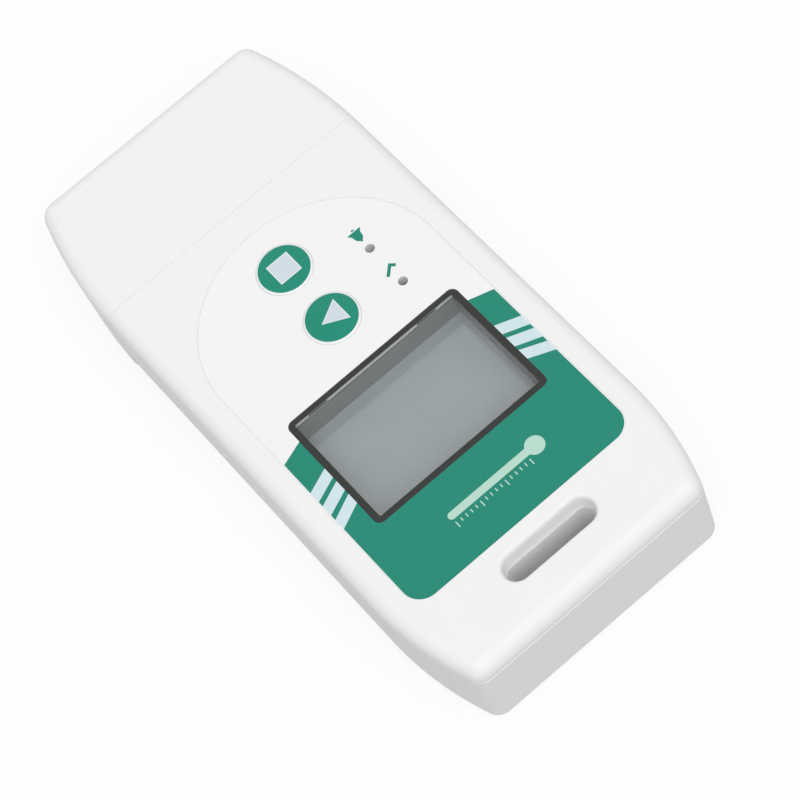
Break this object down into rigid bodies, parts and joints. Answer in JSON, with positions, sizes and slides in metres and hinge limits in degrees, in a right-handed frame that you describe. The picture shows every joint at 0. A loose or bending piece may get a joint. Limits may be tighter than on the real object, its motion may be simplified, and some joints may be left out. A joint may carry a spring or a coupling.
{
  "type": "temperature data logger",
  "caption": "Slim hand-sized temperature logger: two-shell case with display, start and stop buttons, lamps, lanyard slot and a USB plug under a pull-off cap.",
  "frame": {"origin": "centre of the back face's bounding box, where the logger lies on its back", "axes": "+Z out of the front face, +Y along the case towards the lanyard slot, the cap at -Y, +X to the reader's right when the slot is at the top"},
  "size_m": [0.0428, 0.0956, 0.0139],
  "materials": {
    "shell": "fine satin moulded ABS, white",
    "film": "printed polyester film, green and white",
    "window": "clear acrylic pane",
    "black_frame": "black adhesive frame behind the pane",
    "holder": "dark grey moulded plastic",
    "display": "grey reflective display, switched off",
    "elastomer": "striped contact rubber",
    "button": "domed green button with a white rim",
    "switch": "stamped switch can",
    "lamp_green": "clear green lamp",
    "lamp_red": "clear red lamp",
    "board": "green solder resist",
    "chip": "black moulded epoxy",
    "chip_ceramic": "sintered ceramic",
    "steel": "plain stainless steel",
    "gold": "thin gold plating",
    "plug_steel": "nickel-plated sheet",
    "insulator": "white moulded insulator",
    "screw_steel": "zinc-plated steel"
  },
  "bodies": {
    "case": {"front_cover": "shell", "rear_housing": "shell", "graphic_overlay": "film", "display_window": "window", "window_tape": "black_frame", "display_holder": "holder", "display_glass": "display", "front_polariser": "display", "rear_polariser": "display", "contact_strips": "elastomer", "start_switch": "switch", "stop_switch": "switch", "ok_lamp": "lamp_green", "alarm_lamp": "lamp_red", "circuit_board": "board", "microcontroller": "chip", "memory_chip": "chip", "timing_crystal": "steel", "temperature_sensor": "chip", "chip_parts": "chip_ceramic", "coin_cell": "steel", "battery_clip": "steel", "battery_contact": "gold", "usb_shell": "plug_steel", "usb_insulator": "insulator", "usb_contacts": "gold", "cover_screws": "screw_steel"},
    "cap": {"usb_cap": "shell"},
    "start_key": {"start_button": "button"},
    "stop_key": {"stop_button": "button"}
  },
  "joints": [
    {"name": "cap_slide", "type": "slide", "parent": "case", "child": "cap", "axis": [0, -1, 0], "range_m": [0, 0.025]},
    {"name": "start_press", "type": "slide", "parent": "case", "child": "start_key", "axis": [0, 0, -1], "range_m": [0, 0.0003], "stiffness_N_per_m": 800},
    {"name": "stop_press", "type": "slide", "parent": "case", "child": "stop_key", "axis": [0, 0, -1], "range_m": [0, 0.0003], "stiffness_N_per_m": 800}
  ]
}
